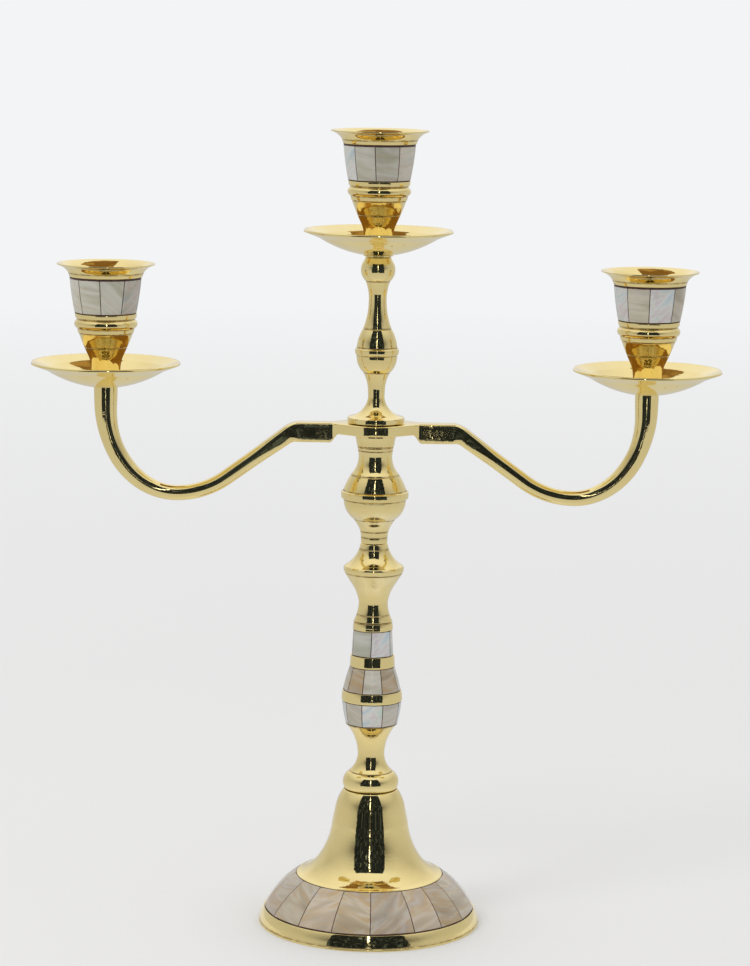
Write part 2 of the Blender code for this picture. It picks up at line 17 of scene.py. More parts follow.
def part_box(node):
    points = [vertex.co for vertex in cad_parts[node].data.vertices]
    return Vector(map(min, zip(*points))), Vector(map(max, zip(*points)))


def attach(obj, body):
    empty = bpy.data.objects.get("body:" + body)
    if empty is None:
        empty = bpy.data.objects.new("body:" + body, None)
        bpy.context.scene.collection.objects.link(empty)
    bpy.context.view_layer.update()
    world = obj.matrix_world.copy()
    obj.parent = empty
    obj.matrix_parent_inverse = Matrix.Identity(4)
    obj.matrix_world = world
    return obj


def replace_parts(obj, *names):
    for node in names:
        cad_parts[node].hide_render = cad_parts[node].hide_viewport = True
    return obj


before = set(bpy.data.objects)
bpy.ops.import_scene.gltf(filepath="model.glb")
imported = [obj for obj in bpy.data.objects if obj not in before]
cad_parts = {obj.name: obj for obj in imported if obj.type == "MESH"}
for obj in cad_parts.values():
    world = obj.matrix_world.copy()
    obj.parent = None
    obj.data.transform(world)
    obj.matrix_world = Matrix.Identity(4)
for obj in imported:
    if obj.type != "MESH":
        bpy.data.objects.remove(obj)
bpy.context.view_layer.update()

# ---- fits, as in the CAD
SEAT_GAP = 0.0003
INLAY_THICKNESS = 0.0009
ROD_BORE = 0.0033
STUD_BORE = 0.0023
STUD_RADIUS = 0.0020
ROD_RADIUS = 0.0030
SIDES = ("left", "centre", "right")
POST_BODY = {"left": "arms", "centre": "column", "right": "arms"}

# ---- mesh fineness
ARC_TOLERANCE = 0.000012
LONGEST_FACET = 0.0007
CORNER_RADIUS = 0.00022
CORNER_ANGLE = radians(14)
CORNER_SHARE = 0.42         # how much of a facet a rounded corner may take
# how far from an inside corner the painted shade and the rougher finish reach
CREVICE_SHADE_REACH = 0.0005
POLISH_WAVE = 0.00003       # how deep a hand-polished surface wanders
TURNED_STEPS = 128


# ---- outlines
def arc_points(start, end, bulge=0.0):
    """The points after start, up to and with end, along an arc of that bulge."""
    sweep = 4 * atan(bulge)
    if not sweep:
        return [end]
    chord = end - start
    radius = chord.length / (2 * abs(sin(sweep / 2)))
    facet = 2 * acos(1 - min(ARC_TOLERANCE / radius, 1))
    count = ceil(abs(sweep) / facet)
    centre = (start + end) / 2 + Vector((chord.y, -chord.x)) / (2 * tan(sweep / 2))
    spoke = start - centre
    inner = [centre + Matrix.Rotation(-sweep * i / count, 2) @ spoke for i in range(1, count)]
    return inner + [end]


def side_points(start, stretches):
    """A turned side as (radius, height) points, from its start down its stretches."""
    points = [Vector(start)]
    for radius, drop, *bulge in stretches:
        points += arc_points(points[-1], Vector((radius, points[-1].y - drop)), *bulge)
    return points


def height_of(stretches):
    return sum(stretch[1] for stretch in stretches)


def normals(points):
    """Unit vectors square to the side, pointing out of the metal."""
    runs = [(b - a).normalized() for a, b in zip(points, points[1:])]
    found = []
    for i in range(len(points)):
        along = (runs[max(i - 1, 0)] + runs[min(i, len(runs) - 1)]).normalized()
        found.append(Vector((-along.y, along.x)))
    return found


def inset(points, depth):
    """The side moved into the metal by depth, measured square to it."""
    return [point - normal * depth for point, normal in zip(points, normals(points))]


def scored(points, cuts):
    """The side with a fine V groove at each (height, width, depth)."""
    for height, width, depth in cuts:
        grooved = [points[0]]
        for a, b in zip(points, points[1:]):
            for level, inward in ((height + width / 2, 0), (height, depth),
                                  (height - width / 2, 0)):
                if a.y > level >= b.y:
                    grooved.append(a.lerp(b, (a.y - level) / (a.y - b.y)) - Vector((inward, 0)))
            if abs(b.y - height) > width / 2:
                grooved.append(b)
        points = grooved
    return points


def softened(points, radius=CORNER_RADIUS):
    """The side with each sharp corner rounded. Returns the points and its crevices."""
    result, crevices = [points[0]], []
    for before, corner, after in zip(points, points[1:], points[2:]):
        a, b = before - corner, after - corner
        if a.length < 1e-7 or b.length < 1e-7:
            continue
        turn = pi - a.angle(b)
        if turn < CORNER_ANGLE:
            result.append(corner)
            continue
        if (corner - before).cross(after - corner) > 0:
            crevices.append(corner)
        cut = min(radius * tan(turn / 2), CORNER_SHARE * a.length,
                  CORNER_SHARE * b.length)
        first, last = corner + a.normalized() * cut, corner + b.normalized() * cut
        for i in range(4):
            share = i / 3
            result.append(first.lerp(corner, share).lerp(corner.lerp(last, share), share))
    return result + [points[-1]], crevices


def refined(points):
    """The side with its long facets cut up, so that shading stays true across them."""
    result = [points[0]]
    for a, b in zip(points, points[1:]):
        count = max(1, ceil((b - a).length / LONGEST_FACET))
        result += [a.lerp(b, i / count) for i in range(1, count + 1)]
    return result


# ---- meshes
def on_round(radius, angle, height):
    return (radius * cos(angle), radius * sin(angle), height)


def numbered(verts, size, start=0):
    """The vertices' indices from start on, as rings of that many each."""
    return [list(range(i, i + size)) for i in range(start, len(verts), size)]


def ring_faces(rings, closed=False, outward=True):
    """Faces between rings of indices. Closed also joins the last ring to the first."""
    faces = []
    for first, second in zip(rings, rings[1:] + rings[:1] if closed else rings[1:]):
        for a, b, c, d in zip(first, second, second[1:] + second[:1], first[1:] + first[:1]):
            faces.append(list(dict.fromkeys((a, b, c, d) if outward else (a, d, c, b))))
    return faces


def new_mesh(name, verts, faces, **values):
    """A mesh, with the values that its points carry for the materials."""
    mesh = bpy.data.meshes.new(name)
    mesh.from_pydata(verts, [], faces)
    for label, data in values.items():
        mesh.attributes.new(label, "FLOAT", "POINT").data.foreach_set("value", data)
    return mesh


def new_object(name, data):
    thing = bpy.data.objects.new(name, data)
    bpy.context.scene.collection.objects.link(thing)
    return thing


def finish_piece(name, mesh, place, body, materials):
    """An object of that mesh, shaded smooth, which rides on its body."""
    for material in materials:
        mesh.materials.append(material)
    mesh.shade_smooth()
    piece = new_object(name, mesh)
    piece.location = place
    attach(piece, body)
    return piece


# ---- turned pieces
def polish_wave(angle, height, seed):
    """How far the polished metal lies under its ideal surface, from 0 to 1."""
    spot = Vector((1.3 * cos(angle), 1.3 * sin(angle), height * 70 + seed * 7.3))
    return 0.5 + 0.5 * noise.noise(spot)


def turned(name, points, place, body, materials, steps=TURNED_STEPS,
           wave=POLISH_WAVE, inner_from=None, brushed=False):
    """A turned piece. Points from index inner_from on take the second material."""
    closed = points[0].x > 1e-6
    marker = len(points) if inner_from is None else inner_from
    outer, crevices = softened(points[:marker])
    outer = refined(outer)
    if inner_from is None:
        outline, inner_start = outer, len(outer)
    else:
        inner, _ = softened([outer[-1]] + points[marker:])
        outline, inner_start = outer + refined(inner)[1:], len(outer) - 1
    if closed:
        outline += refined([outline[-1], outline[0]])[1:-1]
    seed = sum(map(ord, name)) % 97
    verts, shade_and_dulling, dull, rows = [], [], [], []
    for i, (point, normal) in enumerate(zip(outline, normals(outline))):
        # near an inside corner the brass gets painted shade and a rougher finish; this is how much
        crevice = max((1 - (point - spot).length / CREVICE_SHADE_REACH for spot in crevices), default=0)
        satin = smooth(-normal.y, 0.25, 0.8) if brushed else 0.0
        if point.x < 1e-6:
            rows.append([len(verts)] * steps)
            verts.append((0, 0, point.y))
            shade_and_dulling.append(0)
            dull.append(satin)
            continue
        rows.append(list(range(len(verts), len(verts) + steps)))
        for k in range(steps):
            angle = 2 * pi * k / steps
            radius = point.x
            if i < inner_start and radius > ROD_BORE:
                radius -= wave * polish_wave(angle, point.y, seed)
            verts.append(on_round(radius, angle, point.y))
            shade_and_dulling.append(max(crevice, 0))
            dull.append(satin)
    mesh = new_mesh(name, verts, ring_faces(rows, closed), crevice=shade_and_dulling, satin=dull)
    if inner_from is not None:
        mesh.polygons.foreach_set("material_index", [int(i // steps >= inner_start)
                                                     for i in range(len(mesh.polygons))])
    return finish_piece(name, mesh, place, body, materials)


def bored(points):
    """A side closed by the rod's hole, from its foot back up to its top."""
    return points + [Vector((ROD_BORE, points[-1].y)), Vector((ROD_BORE, points[0].y))]


def seat_of(node):
    """The middle of a turned node's foot, from the frame."""
    low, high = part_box(node)
    return Vector(((low.x + high.x) / 2, 0, low.z))


# ---- inlaid bands
TILE_EDGE = 0.00016         # radius of a polished tile's edges
TILE_CURVE = 0.6            # 0 is a flat tile, 1 follows the round
TILE_RAGGED = 0.00005       # how far a tile's top and foot wander
MASTIC_SINK = 0.00009       # how far the mastic lies under the tiles
MASTIC_BED = 0.00022        # how far it goes on behind them
MASTIC_LUMP = 0.00004
JOINT_WIDTH = 0.00030
EDGE_STEPS = (0.0, 0.03, 0.12, 0.35, 0.7, 1.0)


class Band:
    """An inlaid band: a side between two heights, cut into tiles at its joints.

    Margins are the mastic's widths over and under the tiles. Skew is how far the joints wander,
    as a share of a tile, and the seed. Warmth is the hue of every other tile from the front one
    and of those between.
    """

    def __init__(self, top_radius, foot_radius, height, bulge, tiles, top, front, margins, skew,
                 warmth):
        self.side = refined(side_points((top_radius, top), [(foot_radius, height, bulge)]))
        self.normals = normals(self.side)
        lengths = [(b - a).length for a, b in zip(self.side, self.side[1:])]
        self.length = sum(lengths)
        self.marks = [sum(lengths[:i]) / self.length for i in range(len(self.side))]
        self.top_margin, self.foot_margin = margins
        rng = random.Random(skew[1])
        step = 2 * pi / tiles
        self.joints = []
        for i in range(tiles):
            middle = radians(-90 + front) + i * step + rng.uniform(-1, 1) * skew[0] * step
            lean = rng.uniform(-1, 1) * skew[0] * step * 0.6
            self.joints.append((middle + lean, middle - lean))
        self.joints.append(tuple(value + 2 * pi for value in self.joints[0]))
        self.tones = []
        for i in range(tiles):
            hue = warmth[min(i, tiles - i) % 2] + rng.uniform(-0.2, 0.2)
            self.tones.append((min(max(hue, 0.0), 1.0), rng.random(), rng.random()))

    def at(self, share):
        """The band's corner point and normal at a share of its length from the top."""
        share = min(max(share, 0.0), 1.0)
        for i in range(len(self.marks) - 1):
            if share <= self.marks[i + 1]:
                break
        part = (share - self.marks[i]) / (self.marks[i + 1] - self.marks[i])
        return (self.side[i].lerp(self.side[i + 1], part),
                self.normals[i].lerp(self.normals[i + 1], part).normalized())

    def joint(self, index, share):
        top, foot = self.joints[index]
        return top + (foot - top) * share

    def point(self, tile, angle, share, depth):
        """A point over a tile, at that depth under its face."""
        corner, normal = self.at(share)
        first, last = self.joint(tile, share), self.joint(tile + 1, share)
        half = (last - first) / 2
        flat = cos(half) / cos(angle - first - half)
        radius = corner.x * (flat + (1 - flat) * TILE_CURVE) - normal.x * depth
        return Vector(on_round(radius, angle, corner.y - normal.y * depth))


def edge_offsets(length):
    """Distances across a tile, crowded at both edges, where it is rounded."""
    rim = [TILE_EDGE * step for step in EDGE_STEPS]
    inner = max(2, round((length - 2 * TILE_EDGE) / 0.0008))
    middle = [TILE_EDGE + (length - 2 * TILE_EDGE) * i / inner for i in range(1, inner)]
    return rim + middle + [length - value for value in reversed(rim)]


def edge_depth(distance):
    """How far the rounded edge falls away at a distance from a tile's side."""
    if distance >= TILE_EDGE:
        return 0.0
    return TILE_EDGE - sqrt(TILE_EDGE ** 2 - (TILE_EDGE - distance) ** 2)


def tile_mesh(name, band):
    """All the tiles of a band. Each keeps its tone and its own grain on its vertices."""
    verts, faces, tones, grains = [], [], [], []
    for tile, tone in enumerate(band.tones):
        middle, _ = band.at(0.5)
        width = middle.x * (band.joint(tile + 1, 0.5) - band.joint(tile, 0.5)) - JOINT_WIDTH
        tall = band.length - band.top_margin - band.foot_margin
        across, down = edge_offsets(width), edge_offsets(tall)
        swirl = Matrix.Rotation((tone[2] - 0.5) * 1.5, 2)
        base = len(verts)
        for back in (0, 1):
            for v, fall in enumerate(down):
                for u, run in enumerate(across):
                    spot = Vector((run * 900, tile * 3.1, back * 9 + v))
                    ragged = TILE_RAGGED * noise.noise(spot) if v in (0, len(down) - 1) else 0
                    share = (band.top_margin + fall + ragged) / band.length
                    left = band.joint(tile, share) + JOINT_WIDTH / 2 / middle.x
                    right = band.joint(tile + 1, share) - JOINT_WIDTH / 2 / middle.x
                    angle = left + (right - left) * run / width
                    depth = max(edge_depth(min(run, width - run)),
                                edge_depth(min(fall, tall - fall)))
                    verts.append(band.point(tile, angle, share, INLAY_THICKNESS if back else depth))
                    tones.append((*tone, 1.0))
                    spot = swirl @ Vector((run - width / 2, fall - tall / 2))
                    grains.append((spot.x, spot.y, tile * 0.37 + tone[1] * 5))
        wide, high = len(across), len(down)
        layer = wide * high
        for v in range(high - 1):
            for u in range(wide - 1):
                a = base + v * wide + u
                faces.append((a, a + wide, a + wide + 1, a + 1))
                b = a + layer
                faces.append((b, b + 1, b + wide + 1, b + wide))
        border = (list(range(wide)) + [v * wide + wide - 1 for v in range(1, high)]
                  + [(high - 1) * wide + u for u in range(wide - 2, -1, -1)]
                  + [v * wide for v in range(high - 2, 0, -1)])
        for a, b in zip(border, border[1:] + border[:1]):
            faces.append((base + a, base + b, base + b + layer, base + a + layer))
    mesh = new_mesh(name, verts, faces)
    mesh.attributes.new("tile_tone", "FLOAT_COLOR", "POINT").data.foreach_set(
        "color", [value for tone in tones for value in tone])
    mesh.attributes.new("grain", "FLOAT_VECTOR", "POINT").data.foreach_set(
        "vector", [value for grain in grains for value in grain])
    return mesh


def mastic_mesh(name, band):
    """The bed of mastic that fills the band's groove up to just under the tiles' faces."""
    verts, tiles = [], len(band.tones)
    per_tile = max(6, 180 // tiles)
    shares = [i / 12 for i in range(13)]
    loop = [(share, MASTIC_SINK) for share in shares]
    loop += [(share, INLAY_THICKNESS + MASTIC_BED) for share in reversed(shares)]
    for tile, part in [(tile, k / per_tile) for tile in range(tiles) for k in range(per_tile)]:
        for share, depth in loop:
            first, last = band.joint(tile, share), band.joint(tile + 1, share)
            angle = first + (last - first) * part
            lump = noise.noise(Vector((cos(angle) * 9, sin(angle) * 9, share * 5)))
            inner = share if 0 < share < 1 else abs(share - 0.00004 / band.length)
            verts.append(band.point(tile, angle, inner, depth + MASTIC_LUMP * lump))
    return new_mesh(name, verts, ring_faces(numbered(verts, len(loop)), True, False))


def add_band(name, node, band, place, body):
    """The tiles of a band and their bed of mastic, in place of the CAD's faceted ring."""
    finish_piece(f"{name}_mastic", mastic_mesh(f"{name}_mastic", band), place, body,
                 [MASTIC])
    tiles = finish_piece(f"{name}_tiles", tile_mesh(f"{name}_tiles", band), place, body,
                         [PEARL])
    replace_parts(tiles, node)


def groove_bed(points, tiles):
    """The floor of the groove cut for a band of that many flat tiles."""
    ratio = cos(pi / tiles)
    narrowed = [Vector((point.x * ratio, point.y)) for point in points]
    return inset(narrowed, INLAY_THICKNESS + SEAT_GAP)


def recess(band_sizes, top):
    """Brass side across an inlaid band: in to the groove's floor, down it and out again."""
    top_radius, foot_radius, height, bulge, tiles = band_sizes
    skin = side_points((top_radius, top), [(foot_radius, height, bulge)])
    return [skin[0], *groove_bed(skin, tiles), skin[-1]]


# ---- node materials
class Nodes:
    """A material's node tree, with short calls for what the finishes use."""

    def __init__(self, name):
        self.material = bpy.data.materials.new(name)
        self.material.use_nodes = True
        self.tree = self.material.node_tree
        self.shader = self.tree.nodes["Principled BSDF"]

    def add(self, kind, inputs=None, **settings):
        node = self.tree.nodes.new(kind)
        for key, value in settings.items():
            setattr(node, key, value)
        for key, value in (inputs or {}).items():
            self.put(node.inputs[key], value)
        return node

    def put(self, socket, value):
        if isinstance(value, bpy.types.NodeSocket):
            self.tree.links.new(value, socket)
        else:
            socket.default_value = value

    def set(self, **values):
        for key, value in values.items():
            self.put(self.shader.inputs[key.replace("_", " ")], value)

    def place(self, scale=(1, 1, 1)):
        """Object coordinates stretched by that scale."""
        spot = self.add("ShaderNodeTexCoord").outputs["Object"]
        return self.add("ShaderNodeMapping", {"Vector": spot, "Scale": scale}).outputs[0]

    def attribute(self, name):
        return self.add("ShaderNodeAttribute", attribute_name=name)

    def noise(self, vector, scale, detail=2.0, distortion=0.0, roughness=0.5):
        return self.add("ShaderNodeTexNoise", {
            "Vector": vector, "Scale": scale, "Detail": detail, "Distortion": distortion,
            "Roughness": roughness}).outputs["Fac"]

    def ramp(self, factor, stops):
        node = self.add("ShaderNodeValToRGB", {"Fac": factor})
        ramp = node.color_ramp
        while len(ramp.elements) < len(stops):
            ramp.elements.new(0.5)
        for element, (position, colour) in zip(ramp.elements, stops):
            element.position = position
            element.color = colour if len(colour) == 4 else (*colour, 1.0)
        return node.outputs["Color"]

    def span(self, value, low, high, to_low=0, to_high=1):
        return self.add("ShaderNodeMapRange", {
            "Value": value, "From Min": low, "From Max": high, "To Min": to_low,
            "To Max": to_high}).outputs["Result"]

    def math(self, operation, first, second):
        node = self.add("ShaderNodeMath", {0: first, 1: second}, operation=operation)
        return node.outputs[0]

    def mix(self, factor, first, second, blend="MIX"):
        node = self.add("ShaderNodeMix", data_type="RGBA", blend_type=blend)
        self.put(node.inputs[0], factor)
        for i, value in ((6, first), (7, second)):
            self.put(node.inputs[i], (*value, 1.0) if isinstance(value, tuple) else value)
        return node.outputs[2]

    def bump(self, height, strength, distance, below=None):
        inputs = {"Height": height, "Strength": strength, "Distance": distance}
        if below is not None:
            inputs["Normal"] = below
        return self.add("ShaderNodeBump", inputs).outputs["Normal"]

    def glow(self, colour):
        return self.add("ShaderNodeEmission", {"Color": colour, "Strength": 1.0})

    def surface(self, shader):
        """Puts that node's shader on the surface in place of the usual one."""
        output = next(node for node in self.tree.nodes if node.type == "OUTPUT_MATERIAL")
        self.put(output.inputs["Surface"], shader.outputs[0])


def brass_material():
    """Polished yellow brass: faint lathe lines, uneven polish, pits, and crevices that are rougher
    and carry painted shade.
    """
    n = Nodes("polished_brass")
    still = n.place()
    lathe = n.noise(n.place((25, 25, 3200)), 1.0, 2.0)
    cloud = n.noise(still, 55, 3.0, 0.6)
    smear = n.noise(n.place((140, 140, 50)), 1.0, 3.0, 1.2)
    pit_spot = n.add("ShaderNodeTexVoronoi", {"Vector": still, "Scale": 230.0},
                     feature="F1").outputs["Distance"]
    pits = n.math("MULTIPLY", n.span(pit_spot, 0.05, 0.09, 1, 0), n.span(cloud, 0.56, 0.6))
    # near inside corners: a patchy mask for painted shade and for a rougher finish
    crevice = n.math("MULTIPLY", n.attribute("crevice").outputs["Fac"],
                     n.span(n.noise(still, 420, 3), 0.35, 0.6, 0.35, 0.95))
    satin = n.attribute("satin").outputs["Fac"]
    colour = n.mix(n.span(cloud, 0.35, 0.65), (0.93, 0.755, 0.34), (0.955, 0.80, 0.38))
    dulled = n.mix(n.span(smear, 0.40, 0.60), (0.80, 0.68, 0.36), (0.95, 0.85, 0.56))
    colour = n.mix(n.math("MULTIPLY", satin, 0.8), colour, dulled)
    # painted shade: the brass is darkened near inside corners
    colour = n.mix(crevice, colour, (0.20, 0.105, 0.03))
    colour = n.mix(pits, colour, (0.09, 0.05, 0.02))
    rough = n.span(smear, 0.3, 0.7, 0.035, 0.075)
    rough = n.math("ADD", rough, n.math("MULTIPLY", satin, n.span(cloud, 0.35, 0.65, 0.07, 0.17)))
    rough = n.math("ADD", rough, n.math("MULTIPLY", crevice, 0.35))
    rough = n.math("ADD", rough, n.math("MULTIPLY", pits, 0.5))
    normal = n.bump(lathe, 0.10, 0.00002)
    normal = n.bump(n.noise(still, 480, 2.0, 0.3), 0.45, 0.00004, normal)
    normal = n.bump(n.noise(still, 170, 2.0, 0.4), 0.40, 0.00013, normal)
    normal = n.bump(pits, 0.6, 0.0001, normal)
    n.set(Base_Color=colour, Metallic=1.0, Roughness=rough, Normal=normal)
    return n.material


def cast_brass_material():
    """Unpolished brass inside the foot and the bores: dull, darker and grainy."""
    n = Nodes("cast_brass")
    still = n.place()
    grain = n.noise(still, 900, 4.0)
    stain = n.noise(still, 60, 4.0, 1.0)
    rings = n.noise(n.place((30, 30, 1400)), 1.0, 2.0)
    colour = n.mix(n.span(stain, 0.35, 0.65), (0.42, 0.28, 0.10), (0.62, 0.45, 0.18))
    normal = n.bump(grain, 0.5, 0.00012)
    normal = n.bump(rings, 0.35, 0.00008, normal)
    n.set(Base_Color=colour, Metallic=1.0, Roughness=n.span(stain, 0.3, 0.7, 0.32, 0.5),
          Normal=normal)
    return n.material


def pearl_material():
    """Mother of pearl: each tile has its own tone, growth streaks and a faint play of colour."""
    n = Nodes("mother_of_pearl")
    tone = n.add("ShaderNodeSeparateColor", {"Color": n.attribute("tile_tone").outputs["Color"]})
    warmth, light, seed = tone.outputs[0], tone.outputs[1], tone.outputs[2]
    grain = n.attribute("grain").outputs["Vector"]

    def layer(scale, detail, distortion):
        spot = n.add("ShaderNodeMapping", {"Vector": grain, "Scale": scale}).outputs[0]
        return n.noise(spot, 1.0, detail, distortion)

    streak = layer((60, 800, 1), 3.0, 0.35)
    growth = layer((38, 150, 1), 1.5, 0.45)
    drift = layer((130, 180, 1), 2.0, 0.6)
    play = layer((90, 210, 2), 2.0, 0.6)
    vein = layer((35, 430, 3), 2.0, 0.5)
    cool = n.ramp(growth, [(0.30, (0.32, 0.32, 0.24)), (0.45, (0.40, 0.395, 0.31)),
                           (0.55, (0.49, 0.49, 0.43)), (0.70, (0.36, 0.35, 0.28))])
    warm = n.ramp(growth, [(0.28, (0.30, 0.225, 0.14)), (0.40, (0.37, 0.295, 0.195)),
                           (0.48, (0.46, 0.385, 0.28)), (0.555, (0.41, 0.285, 0.14)),
                           (0.61, (0.36, 0.285, 0.20)), (0.80, (0.45, 0.38, 0.30))])
    colour = n.mix(n.span(warmth, 0.1, 0.9), cool, warm)
    colour = n.mix(n.span(drift, 0.52, 0.74, 0, 0.50), colour, (0.46, 0.44, 0.41))
    colour = n.mix(n.span(streak, 0.54, 0.68, 0, 0.30), colour, (0.29, 0.225, 0.14))
    lines = n.math("MULTIPLY", n.span(vein, 0.55, 0.66, 0, 0.65), n.span(warmth, 0.0, 0.8, 0.15, 1))
    colour = n.mix(lines, colour, (0.40, 0.27, 0.125))
    sheen = n.ramp(play, [(0.30, (0.34, 0.48, 0.60)), (0.40, (0.47, 0.55, 0.60)),
                          (0.48, (0.60, 0.61, 0.60)), (0.55, (0.54, 0.44, 0.52)),
                          (0.61, (0.58, 0.60, 0.56)), (0.72, (0.40, 0.55, 0.52))])
    play_share = n.math("MULTIPLY", n.span(seed, 0.50, 1.0, 0.02, 0.68),
                        n.span(warmth, 0.2, 0.8, 1, 0.2))
    colour = n.mix(play_share, colour, sheen)
    bright = n.span(light, 0, 1, 0.88, 1.16)
    colour = n.mix(1.0, colour, n.add("ShaderNodeCombineColor",
                                      {0: bright, 1: bright, 2: bright}).outputs[0], "MULTIPLY")
    normal = n.bump(streak, 0.12, 0.00006)
    normal = n.bump(drift, 0.25, 0.00020, normal)
    n.set(Base_Color=colour, Roughness=n.span(streak, 0.3, 0.7, 0.14, 0.28), Normal=normal,
          Metallic=0.0, IOR=1.58, Coat_Weight=0.5, Coat_Roughness=0.05)
    return n.material


def mastic_material():
    """Dark brown mastic between and around the tiles."""
    n = Nodes("mastic")
    still = n.place()
    lump = n.noise(still, 700, 3.0)
    colour = n.mix(n.span(lump, 0.35, 0.65), (0.035, 0.013, 0.011), (0.095, 0.040, 0.034))
    n.set(Base_Color=colour, Roughness=n.span(lump, 0.3, 0.7, 0.38, 0.6),
          Normal=n.bump(lump, 0.5, 0.00012))
    return n.material


def steel_material():
    """Plain steel fasteners with a dull cut surface."""
    n = Nodes("fastener_steel")
    still = n.place()
    cloud = n.noise(still, 300, 3.0)
    rings = n.noise(n.place((60, 60, 2600)), 1.0, 2.0)
    colour = n.mix(n.span(cloud, 0.35, 0.65), (0.36, 0.35, 0.33), (0.52, 0.52, 0.52))
    n.set(Base_Color=colour, Metallic=1.0, Roughness=n.span(cloud, 0.3, 0.7, 0.26, 0.42),
          Normal=n.bump(rings, 0.25, 0.00004))
    return n.material


def paper_material():
    """The pale floor, which turns into the studio's white far from the object."""
    n = Nodes("pale_paper")
    spot = n.add("ShaderNodeTexCoord").outputs["Object"]
    far = n.add("ShaderNodeVectorMath", {0: spot}, operation="LENGTH").outputs["Value"]
    fade = n.span(far, 0.5, 2.6)
    fibre = n.noise(spot, 900, 3.0)
    n.set(Base_Color=n.mix(n.span(fibre, 0.3, 0.7), (0.80, 0.795, 0.785),
                           (0.82, 0.815, 0.805)), Roughness=0.75, Specular_IOR_Level=0.2)
    glow = n.glow((*STUDIO_WHITE, 1.0))
    n.surface(n.add("ShaderNodeMixShader", {0: fade, 1: n.shader.outputs[0], 2: glow.outputs[0]}))
    return n.material


STUDIO_WHITE = (0.90, 0.905, 0.915)
BRASS = brass_material()
CAST_BRASS = cast_brass_material()
PEARL = pearl_material()
MASTIC = mastic_material()
STEEL = steel_material()

# ---- foot
FOOT_RADIUS = 0.04635
BELL_TOP_RADIUS = 0.0112
FOOT_BAND = (0.0309, 0.0442, 0.0146, 0.13, 17)
FOOT_RIM_HEIGHT = 0.0062
BELL_SIDE = [
    (0.0146, 0.0076, 0.12), (0.0159, 0.0064), (0.0218, 0.0159, -0.127), (0.0289, 0.0058, -0.136),
    (0.0309, 0.0006),
]
FOOT_RIM = [
    (0.0456, 0.0030, 0.05), (0.0461, 0.0021), (0.0460, 0.0002), (FOOT_RADIUS, 0.0003),
    (FOOT_RADIUS, 0.0006, 0.2),
]
BELL_SHELL = 0.0036
BELL_ROOF = 0.0040


def add_foot():
    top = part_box("base_bell")[1].z
    band_top = FOOT_RIM_HEIGHT + FOOT_BAND[2]
    upper = side_points((BELL_TOP_RADIUS, top), BELL_SIDE)
    lower = side_points((FOOT_BAND[1], FOOT_RIM_HEIGHT), FOOT_RIM)
    skin = side_points((BELL_TOP_RADIUS, top), BELL_SIDE + [FOOT_BAND[1:4]])
    hollow = [point for point in inset(skin, BELL_SHELL) if point.y < top - BELL_ROOF]
    mouth = FOOT_RADIUS - BELL_SHELL
    inside = [Vector((mouth, 0.0)), Vector((mouth - 0.0008, 0.0030))] + hollow[::-1]
    inside += [Vector((ROD_BORE, top - BELL_ROOF)), Vector((ROD_BORE, top))]
    outside = upper[:-1] + recess(FOOT_BAND, band_top) + lower[1:]
    bell = turned("bell_foot", outside + inside, (0, 0, 0), "column", [BRASS, CAST_BRASS],
                  steps=160, inner_from=len(outside) + 1)
    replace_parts(bell, "base_bell")
    band = Band(*FOOT_BAND, band_top, 1.5, (0.00030, 0.00055), (0.16, 11), (1.0, 0.9))
    add_band("foot", "base_inlay", band, (0, 0, 0), "column")


# ---- lower stem
LOWER_STEM_HEIGHT = 0.0712
BALUSTER_COLLAR = [(0.0080, 0.0002), (0.0082, 0.0009), (0.0083, 0.0011, 0.1),
                   (0.0084, 0.0010)]
STEM_BANDS = {
    "upper": (0.0085, 0.0091, 0.0109, 0.0, 6),
    "middle": (0.0094, 0.01225, 0.0102, 0.03, 9),
    "lower": (0.0127, 0.0110, 0.0100, 0.05, 9),
}
BAND_LOOKS = {       # the front joint's angle from ahead, skew, seed, warmth
    "upper": (-6.0, 0.06, 248, (0.1, 0.1)),
    "middle": (-17.0, 0.05, 57, (0.3, 1.0)),
    "lower": (-17.5, 0.07, 1820, (0.15, 0.3)),
}
LOWER_NECK = [
    (0.0107, 0.0002), (0.0056, 0.0121, -0.17), (0.0090, 0.0081, -0.24), (0.0088, 0.0002),
    (0.0093, 0.0002), (0.0109, 0.0071, 0.42),
]


def add_lower_stem():
    seat = seat_of("lower_stem")
    rings = {"upper": [(STEM_BANDS["middle"][0], 0.0047)],
             "middle": [(STEM_BANDS["lower"][0], 0.0043, 0.05)], "lower": LOWER_NECK}
    side = side_points((0.0081, LOWER_STEM_HEIGHT), BALUSTER_COLLAR)
    for label, sizes in STEM_BANDS.items():
        top = side[-1].y
        front, skew, seed, warmth = BAND_LOOKS[label]
        band = Band(*sizes, top, front, (0.00028, 0.00030), (skew, seed), warmth)
        add_band(f"baluster_{label}", f"stem_inlay_{label}", band, seat, "column")
        side += recess(sizes, top)[1:]
        side += side_points(side[-1], rings[label])[1:]
    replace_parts(turned("baluster", bored(side), seat, "column", [BRASS]), "lower_stem")


